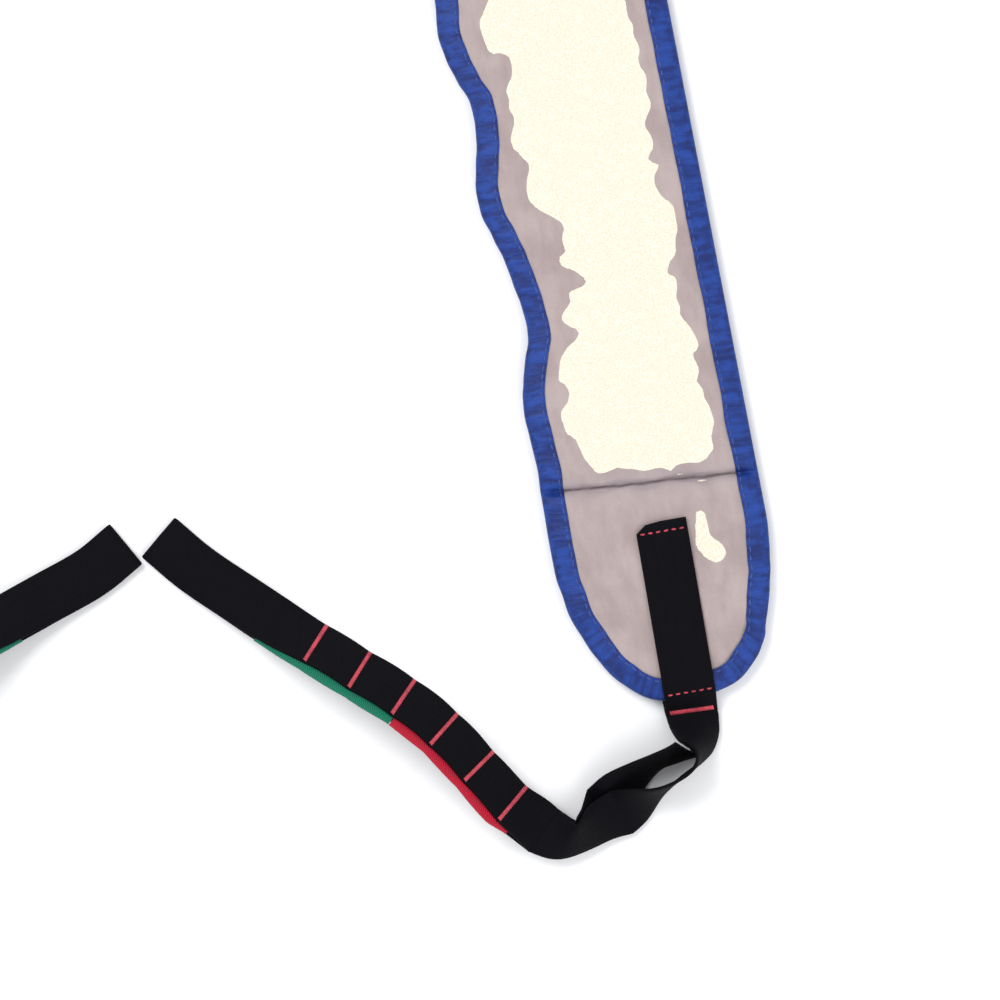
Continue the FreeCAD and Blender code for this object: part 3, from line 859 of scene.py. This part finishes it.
def stitch_line(name, rows, side, size, slot, uneven=0.08, seed=1):
    """Stitches at (place, run, face) rows in millimetres, as a plain mesh."""
    m = lambda p: Vector((p.x * side, p.y, p.z))
    mesh = bpy.data.meshes.new(name)
    mesh.from_pydata([tuple(m(p) * MM) for p, _, _ in rows], [], [])
    for label, k in (("run", 1), ("face", 2)):
        attr = mesh.attributes.new(label, "FLOAT_VECTOR", "POINT")
        attr.data.foreach_set("vector", [x for row in rows for x in m(row[k])])
    obj = bpy.data.objects.new(name, mesh)
    bpy.context.scene.collection.objects.link(obj)
    mod = obj.modifiers.new("stitches", "NODES")
    mod.node_group = STITCHES
    for label, value in (("Stitch", STITCH), ("Size", tuple(x * MM for x in size)), ("Unevenness", uneven),
                         ("Seed", seed), ("Thread", MAT[slot])):
        mod[SOCKET[label]] = value
    obj.update_tag()
    apply_all(obj)
    return obj


def along_line(points, pitch, first=0.0):
    """Evenly spaced (place, run, face) rows on a line of (place, face) points."""
    rows, left = [], first
    for (p, n), (q, m) in zip(points, points[1:]):
        step = (q - p).length
        while left < step:
            t = left / step
            rows.append((p.lerp(q, t), (q - p).normalized(), n.lerp(m, t).normalized()))
            left += pitch
        left -= step
    return rows


# %% [markdown]
# The binding tape wraps the edge. Its section is a bent band: over the lining, round the edge, under the shell.
# Round the tip the tape is gathered, so that it lies in small radial puckers.
# %% Binding
def edge_line():
    """Edge places from the middle of the back, along the inner edge, round the tip and back along the outer."""
    rows = []
    straight = [d for kind, d in ROWS if kind == "d"]
    for d in straight + [HALF]:
        root, width, n, wave = station(d)
        rows.append((root + width * wave, width.copy(), n, (d, wave), (0, 1)))
    count = 44
    for i in range(1, count):
        t = math.pi * i / count
        a, c = -HALF + HALF * math.sin(t), -HALF * math.cos(t)
        inward = (place(-HALF, 0) - place(a, c)).normalized()
        rows.append((place(a, c), inward, UP.copy(), (-a, c + HALF), (math.sin(t), math.cos(t))))
    for d in ([HALF] + straight[::-1]):
        root, width, n, wave = station(d)
        rows.append((root + width * PAD_W, -width, n, (d, PAD_W), (0, -1)))
    for k, (p, inward, n, cloth, step) in enumerate(rows):
        rel = p - TIP_AT
        if cloth[0] < 90:
            rows[k] = (place(*taper(rel.dot(ALONG), rel.dot(ACROSS))), inward, n, cloth, step)
    return rows


EDGE = edge_line()
TAPE_T, TAPE_REACH = 0.8, 11


def tape_ring(k, side, at):
    """Closed section of the tape, and how far each of its points lies across the tape."""
    e, inward, n, cloth, step = EDGE[k]
    reach = TAPE_REACH + noise.noise(Vector((at * 0.05, side * 4.0, 1.0))) * 0.9
    reach += noise.noise(Vector((at * 0.3, side, 9))) * 0.3
    curved = ease(1 - abs(at - TIP_PATH) / 95)
    gather = 0.28 * math.sin(at * TAU / 6.3 + 1.5 * math.sin(at * 0.13)) * curved
    gather += noise.noise(Vector((at * 0.16, side * 2.2, 3.0))) * 0.30
    outer_pts, inner_pts, across = [], [], []

    def on(away, h):
        return e + inward * away + n * h

    def heights(away):
        where = (cloth[0] + step[0] * away, cloth[1] + step[1] * away)
        return top_height(away, where, side), low_height(away, where)

    mid = (EDGE_TOP + EDGE_LOW) / 2
    for x in (1.0, 0.78, 0.5, 0.25):
        away = reach * x
        h = heights(away)[0] + gather * x * 0.8
        outer_pts.append(on(away, h + 0.18 + TAPE_T * (0.75 if x == 1.0 else 1)))
        inner_pts.append(on(away, h + 0.12))
        across.append(away)
    for angle in (60, 20, -20, -60):
        a = math.radians(angle)
        r = (EDGE_TOP - EDGE_LOW) / 2
        outer_pts.append(on(1.4 - 1.6 * math.cos(a), mid + (r + 0.9) * math.sin(a)))
        inner_pts.append(on(2.1 - 1.5 * math.cos(a), mid + (r + 0.1) * math.sin(a)))
        across.append(-angle / 30)
    for x in (0.25, 0.5, 0.78, 1.0):
        away = reach * x
        h = heights(away)[1]
        outer_pts.append(on(away, h - 0.12 - TAPE_T * (0.75 if x == 1.0 else 1)))
        inner_pts.append(on(away, h - 0.08))
        across.append(-away)
    return outer_pts + inner_pts[::-1], across + across[::-1]


AT = [0.0]
for one, two in zip(EDGE, EDGE[1:]):
    AT.append(AT[-1] + (two[0] - one[0]).length)
TIP_PATH = AT[len(EDGE) // 2]


def tape_piece(name, side, first, last):
    rings, cross = [], None
    for k in range(first, last + 1):
        ring, cross = tape_ring(k, side, AT[k])
        rings.append(ring)
    obj = swept(name, rings, side, AT[first:last + 1], cross)
    return rounded(obj)


def tape_seam(side, first, last, top=True, inset=1.7, pitch=4.3):
    pts = []
    for k in range(first, last + 1):
        ring, _ = tape_ring(k, side, AT[k])
        a, b = (ring[0], ring[1]) if top else (ring[11], ring[10])
        n = EDGE[k][2] if top else -EDGE[k][2]
        t = inset / max(0.1, (b - a).length)
        pts.append((a.lerp(b, t) + n * 0.02, n))
    return along_line(pts, pitch, 1.0)

# %% [markdown]
# Each half of the pad is two lengths of cloth that meet on the straight arm: one bends where the arm
# opens from the back, the other where the end panel folds. Inside lies the foam, outside the shell.
# %% Build the pad
CUT = next(i for i, (kind, d) in enumerate(ROWS) if kind == "d" and d < CLOTH_CUT)
CUT_D = ROWS[CUT][1]
CUT_IN, CUT_OUT = CUT, len(EDGE) - 1 - CUT


def mid_point(d, h=5.0):
    root, width, n, _ = station(d)
    return root + width * HALF + n * h


def bend_back(obj, side, word):
    start, stop = mid_point(ARM_END + 28), mid_point(ARM_END - 28)
    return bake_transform(obj, "back", "arm_" + word, pos(start, side), pos(stop, side))


def bend_end(obj, side, word):
    start, stop = place(-CREASE - 9, 0, 5), place(-CREASE + 9, 0, 5)
    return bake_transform(obj, "arm_" + word, "end_" + word, pos(start, side), pos(stop, side))


def cut_rows(grid, first, last):
    return grid[first * (NV + 1):(last + 1) * (NV + 1)]


def offset_grid(side, inset, top_less, low_more):
    """Top and bottom of an inner layer, as distances in from the lining's top and the shell's underside."""
    tops, lows, uvs = [], [], []
    for i in range(len(ROWS)):
        for j in range(NV + 1):
            p, n, away, cloth = sheet_point(i, -1 + 2 * j / NV, inset)
            tops.append(p + n * (top_height(away, cloth, side) - top_less))
            lows.append(p + n * (low_height(away, cloth) + low_more))
            uvs.append((cloth[0] * MM, cloth[1] * MM))
    return tops, lows, uvs


def facing(side, i):
    """Face normal of a grid row."""
    kind, x = ROWS[i]
    return station(x)[2] if kind == "d" else UP


SIDES = ((1, "right"), (-1, "left"))
for side, word in SIDES:
    tops, lows, uvs = pad_shell(side)
    tops = inflate(tops, lows, side)
    normals = [facing(side, i) for i in range(len(ROWS)) for _ in range(NV + 1)]
    lining_low = [p - n * 0.9 for p, n in zip(tops, normals)]
    shell_top = [p + n * 0.75 for p, n in zip(lows, normals)]
    foam_top, foam_low, foam_uv = offset_grid(side, 9.0, 1.3, 0.85)
    for part, first, last in (("back", 0, CUT), ("arm", CUT, ROW_LAST)):
        nr = last - first + 1
        cut = [cut_rows(g, first, last) for g in (tops, lining_low, lows, shell_top, uvs, foam_top, foam_low, foam_uv)]
        lining = close_sheet(f"lining_{part}_{word}", cut[0], cut[1], nr, NV + 1, cut[4], side)
        shell = close_sheet(f"shell_{part}_{word}", cut[3], cut[2], nr, NV + 1, cut[4], side)
        foam = close_sheet(f"foam_{part}_{word}", cut[5], cut[6], nr, NV + 1, cut[7], side)
        for obj, slot, stem in ((lining, "lining_fabric", "lining"), (shell, "shell_fabric", "shell"),
                                (foam, "foam_pad", "foam")):
            sharpen(obj, 60)
            if stem != "foam":
                rounded(obj)
            nodes = [f"{stem}_back"] if part == "back" else [f"{stem}_arm_{word}", f"{stem}_end_{word}"]
            dress(obj, slot, *nodes)
            (bend_back if part == "back" else bend_end)(obj, side, word)
        area = sum(f.area for f in lining.data.polygons) / 2
        length = (ROWS[first][1] - (ROWS[last][1] if part == "back" else 0)) * MM
        print(lining.name, "one face", round(area, 4), "m2, cut", round(length, 3), "m long")
        # the rounded tip takes three parts in a hundred off the arm's rectangle of cloth
        full = 0.97 if part == "arm" else 1
        length * 0.107 * full
        length * 0.107 * full

# %% [markdown]
# The tape goes round in the same two lengths, with a row of small stitches near its inner edge on both faces.
# %% Build the binding
for side, word in SIDES:
    last = len(EDGE) - 1
    a = tape_piece(f"binding_inner_edge_{word}", side, 0, CUT_IN)
    b = tape_piece(f"binding_outer_edge_{word}", side, CUT_OUT, last)
    c = tape_piece(f"binding_arm_{word}", side, CUT_IN, CUT_OUT)
    dress(a, "binding_tape", "binding_inner_back")
    dress(b, "binding_tape", "binding_outer_back")
    dress(c, "binding_tape", f"binding_end_{word}", f"binding_inner_arm_{word}", f"binding_outer_arm_{word}")
    bend_back(a, side, word), bend_back(b, side, word), bend_end(c, side, word)
    for top in (True, False):
        face = "face" if top else "under"
        rows = tape_seam(side, 0, CUT_IN, top) + tape_seam(side, CUT_OUT, last, top)
        s1 = stitch_line(f"binding_seam_back_{face}_{word}", rows, side, (2.9, 0.75, 0.6), "blue_thread", 0.1, 3)
        s2 = stitch_line(f"binding_seam_arm_{face}_{word}", tape_seam(side, CUT_IN, CUT_OUT, top), side,
                         (2.9, 0.75, 0.6), "blue_thread", 0.1, 4)
        bend_back(s1, side, word), bend_end(s2, side, word)
print("binding ready", len(EDGE), "edge places")

# %% [markdown]
# The load webbing runs under the whole pad, comes out at the tip and becomes the lower strand of the loop.
# The tail lies on the lining and becomes the upper strand.
# %% Build the straps
UNDER = STRAP_T + 0.35
TACK_FROM, TACK_PITCH, TACKS, RED_CELLS = 32.4, 23.9, 6, 3
tack_at = [TACK_FROM + TACK_PITCH * i for i in range(TACKS)]
color_change, color_end = tack_at[RED_CELLS] - 2.0, tack_at[-1] + 26.0


def below(frame):
    c, w, n = frame
    return c - n * UNDER, w, n


def cell_puff(s):
    """The tacked layers stand apart between two tacks."""
    t = (s - tack_at[0]) / TACK_PITCH
    if t < 0 or t > TACKS - 1:
        return 0.0
    return abs(math.sin(math.pi * t)) ** 0.8


def web_frames(first, last):
    rows = []
    for i in range(first, last + 1):
        kind, d = ROWS[i]
        root, width, n, _ = station(d)
        rows.append((root + width * HALF, -width, n))
    return rows


HEADING = math.radians(-46.0)
FOLD_LINE = ALONG * math.cos(HEADING) + ACROSS * math.sin(HEADING)
fold_at = ladder.centre(0) + UP * 4
fold_dir = Vector((-FOLD_LINE.y, FOLD_LINE.x, 0)).normalized()
if fold_dir.dot(ladder.centre(20) - fold_at) < 0:
    fold_dir = -fold_dir
swing_c, swing_run = tail.centre(swing_s), (tail.centre(swing_s + 1) - tail.centre(swing_s - 1))
swing_run = Vector((swing_run.x, swing_run.y, 0)).normalized()


def bend_loop(obj, side, word):
    start, stop = swing_c - swing_run * 7, swing_c + swing_run * 7
    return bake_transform(obj, "end_" + word, "loop_" + word, pos(start, side), pos(stop, side))


def bend_fold(obj, side, word):
    start, stop = fold_at - fold_dir * 5, fold_at + fold_dir * 8
    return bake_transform(obj, "loop_" + word, "strap_" + word, pos(start, side), pos(stop, side))


def strap_frames(route):
    """Distances along the tacked strap, and its frames there."""
    at = spread(0.0, route.length, 2.0)
    return at, flip([route.frame(s) for s in at])


def thread_row(frame, go, half, count, lean, lift):
    """Threads laid side by side across a strap, leaning one way and the other in turn."""
    c, w, n = frame
    rows = []
    for i in range(count + 1):
        x = -half + 2 * half * i / count
        rows.append((c + w * x + n * lift, (go + w * (lean if i % 2 else -lean)).normalized(), n))
    return rows


def heading(route, s):
    return (route.centre(s + 1) - route.centre(s - 1)).normalized()


lad_s, lad = strap_frames(ladder)
MEET = swing_s + 15
OUT_STOP = next(s for s in spread(MEET, tail.length, 0.2) if tail.values(s)[1] < -43)
low_top = 2 * (STRAP_T + 0.1)
# The root bar tack lies this far past the tip, and the dotted rows this far back from it.
ROOT_TACK, DOTTED_ROWS, TAIL_ON_PAD = 7.6, (79.0, 1.0), 84
for side, word in SIDES:
    if side < 0:
        ladder = Route(LADDER_LEFT, 1)
        lad_s, lad = strap_frames(ladder)
    back = strap(f"load_webbing_back_{word}", web_frames(0, CUT), side)
    dress(back, "black_webbing", "load_webbing_back")
    bend_back(back, side, word)
    near_tip = [i for i in range(CUT, ROW_END + end_n) if ROWS[i][1] > 62]
    arm = strap(f"load_webbing_arm_{word}", web_frames(CUT, near_tip[-1]), side, start=MIDDLE - CUT_D)
    dress(arm, "black_webbing", f"load_webbing_arm_{word}")
    bend_end(arm, side, word)
    run = [(place(a, 0, 0), -ACROSS, UP.copy()) for a in spread(-ROWS[near_tip[-1]][1], 7.0, 4)]
    run += [below(tail.frame(s)) for s in spread(root_s + 2, swing_s + 1, 1.5)]
    ins = [inner.frame(s) for s in spread(5.0, inner.length, 2.0)]
    meet = 4
    lower = strap(f"load_webbing_end_{word}", run + ins[:meet], side, start=MIDDLE - 60)
    dress(lower, "black_webbing", f"load_webbing_end_{word}")
    bend_loop(lower, side, word)
    pair = [tail.frame(OUT_STOP - 2), tail.frame(OUT_STOP)]
    round_turn = turn_frames(pair, [lad[6], lad[7]], low_top)
    under_turn = [(c - n * (UNDER + (low_top - UNDER) * ease(i / len(round_turn))), w, n)
                  for i, (c, w, n) in enumerate(round_turn)]
    base = strap(f"loop_and_base_webbing_{word}", ins[meet - 1:] + under_turn[13:-5] + lad[6:], side)
    dress(base, "black_webbing", f"loop_strand_inner_{word}", f"ladder_base_{word}")
    bend_fold(base, side, word)
    sewn = [tail.frame(s) for s in spread(0, MEET, 1.6)]
    tail_obj = strap(f"tail_webbing_{word}", sewn, side)
    for v in tail_obj.data.vertices:
        p = Vector((v.co.x * side, v.co.y, v.co.z)) / MM - place(-TAIL_ON_PAD, 2.5)
        a, c = p.dot(ALONG), p.dot(ACROSS)
        if a < 6:
            v.co += pos(ALONG, side) * max(0.0, (-c - 6.5) * 0.75) * ease((6 - a) / 6)
    dress(tail_obj, "black_webbing", f"tail_webbing_{word}")
    bend_loop(tail_obj, side, word)
    outer = [tail.frame(s) for s in spread(MEET, OUT_STOP - 3, 2.0)]
    top_frames = outer + round_turn[:-5]
    top_low = [0.0] * len(top_frames)
    for s, f in list(zip(lad_s, lad))[6:]:
        drop = (low_top - 2.4) * ease((s - color_end - 2) / 24)
        top_frames.append(f)
        top_low.append(low_top - drop + 1.1 * cell_puff(s))
    c, w, n = lad[-1]
    ahead = (ladder.centre(ladder.length) - ladder.centre(ladder.length - 3)).normalized()
    hub = c + n * 2.1
    for i in range(1, 9):
        t = math.pi * i / 8
        out = n * math.cos(t) + ahead * math.sin(t)
        top_frames.append((hub + out * 0.3 + ahead * 0.1, w, out))
        top_low.append(0.0)
    top = strap(f"loop_and_top_webbing_{word}", top_frames, side, top_low)
    dress(top, "black_webbing", f"loop_strand_outer_{word}", f"ladder_top_{word}")
    bend_fold(top, side, word)
    # coloured webbing between the layers, standing out on one side between the tacks
    for color, lo, hi in (("red", tack_at[0] - 6, color_change), ("green", color_change + 0.4, color_end)):
        ss = spread(lo, hi, 1.5)
        frames = flip([ladder.frame(s) for s in ss])
        ends = [ease((s - lo) / 9) if color == "red" else ease((hi - s) / 30) for s in ss]
        out = [-(1.0 + 2.2 * e + 0.9 * cell_puff(s)) for s, e in zip(ss, ends)]
        lift = [STRAP_T + 0.1 + 0.45 * cell_puff(s) for s in ss]
        obj = strap(f"webbing_{color}_{word}", frames, side, lift, shift=out)
        dress(obj, color + "_webbing", f"webbing_{color}_{word}")
        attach(obj, "strap_" + word)
    # bar tacks: a dense row of threads laid side by side across the strap
    rows = []
    for s in tack_at:
        rows += thread_row(ladder.frame(s), heading(ladder, s), 11.4, 40, 0.22, low_top + STRAP_T + 0.22)
    bars = stitch_line(f"bar_tacks_{word}", rows, side, (2.3, 0.85, 0.7), "red_thread", 0.06, 7)
    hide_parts(f"bar_tacks_{word}")
    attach(bars, "strap_" + word)
    # the root bar tack closes the loop just past the tip
    near = min(spread(0, tail.length, 0.1), key=lambda s: abs(tail.values(s)[0] - ROOT_TACK))
    rows = thread_row(tail.frame(near), heading(tail, near), 10.2, 36, 0.2, STRAP_T + 0.22)
    bar = stitch_line(f"root_bar_tack_{word}", rows, side, (2.7, 0.85, 0.75), "red_thread", 0.06, 8)
    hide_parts(f"root_bar_tack_{word}")
    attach(bar, "end_" + word)
    # two rows of dotted stitches hold the tail on the lining
    rows = []
    for d in DOTTED_ROWS:
        c, w, n = tail.frame(TAIL_ON_PAD - d)
        for i in range(6):
            rows.append((c + w * ((i - 2.5) * 3.8) + n * (STRAP_T + 0.1), w, n))
    dots = stitch_line(f"tail_stitching_{word}", rows, side, (2.3, 0.9, 0.7), "red_thread", 0.12, 9)
    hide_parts(f"tail_stitching_{word}")
    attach(dots, "end_" + word)
print("straps ready")

# %% [markdown]
# The floor is a plain pale surface under soft light from above and a little from the left.
# %% Floor, light and camera
def floor_stuff():
    net = Net("pale_floor")
    xyz = net.make("ShaderNodeTexCoord")
    p = Val(net, xyz.outputs["Object"])
    grain = net.noise(p, 90.0, 3.0, 0.5)
    color = net.mix(grain, rgb(240, 240, 241), rgb(246, 246, 247))
    return net.done(color, 0.75 + grain * 0.1, net.bump(grain, 0.0001, 0.2))


bm = bmesh.new()
bmesh.ops.create_grid(bm, x_segments=8, y_segments=8, size=4)
mesh = bpy.data.meshes.new("floor")
bm.to_mesh(mesh)
bm.free()
floor = bpy.data.objects.new("floor", mesh)
floor.location = (0, 0, -0.0006)
mesh.materials.append(floor_stuff())
bpy.context.scene.collection.objects.link(floor)


def area_light(name, place_at, look_at, size, power):
    light = bpy.data.lights.new(name, "AREA")
    light.shape, light.size, light.energy = "SQUARE", size, power
    obj = bpy.data.objects.new(name, light)
    obj.location = place_at
    obj.rotation_euler = (Vector(look_at) - Vector(place_at)).to_track_quat("-Z", "Y").to_euler()
    bpy.context.scene.collection.objects.link(obj)


area_light("key_light", (-0.9, 0.9, 1.9), (0.1, -0.1, 0), 1.2, 38)
area_light("fill_light", (1.5, -0.6, 1.5), (0.1, -0.1, 0), 1.5, 14)
area_light("low_light", (0.3, -1.8, 0.9), (0.2, -0.2, 0), 0.8, 8)
world = bpy.data.worlds.new("studio")
world.use_nodes = True
world.node_tree.nodes["Background"].inputs[0].default_value = (0.93, 0.94, 0.96, 1)
world.node_tree.nodes["Background"].inputs[1].default_value = 0.75
bpy.context.scene.world = world
cam = bpy.data.objects.new("camera", bpy.data.cameras.new("camera"))
bpy.context.scene.collection.objects.link(cam)
CAM_HEIGHT, SEEN = 1.9, 0.4808
cam.data.sensor_width = 36
cam.data.lens = 36 * (CAM_HEIGHT - 0.010) / SEEN
cam.location = (0.1736, -0.1141, CAM_HEIGHT)
cam.data.clip_start, cam.data.clip_end = 0.05, 20
bpy.context.scene.camera = cam
bpy.context.scene.view_settings.view_transform = "Standard"
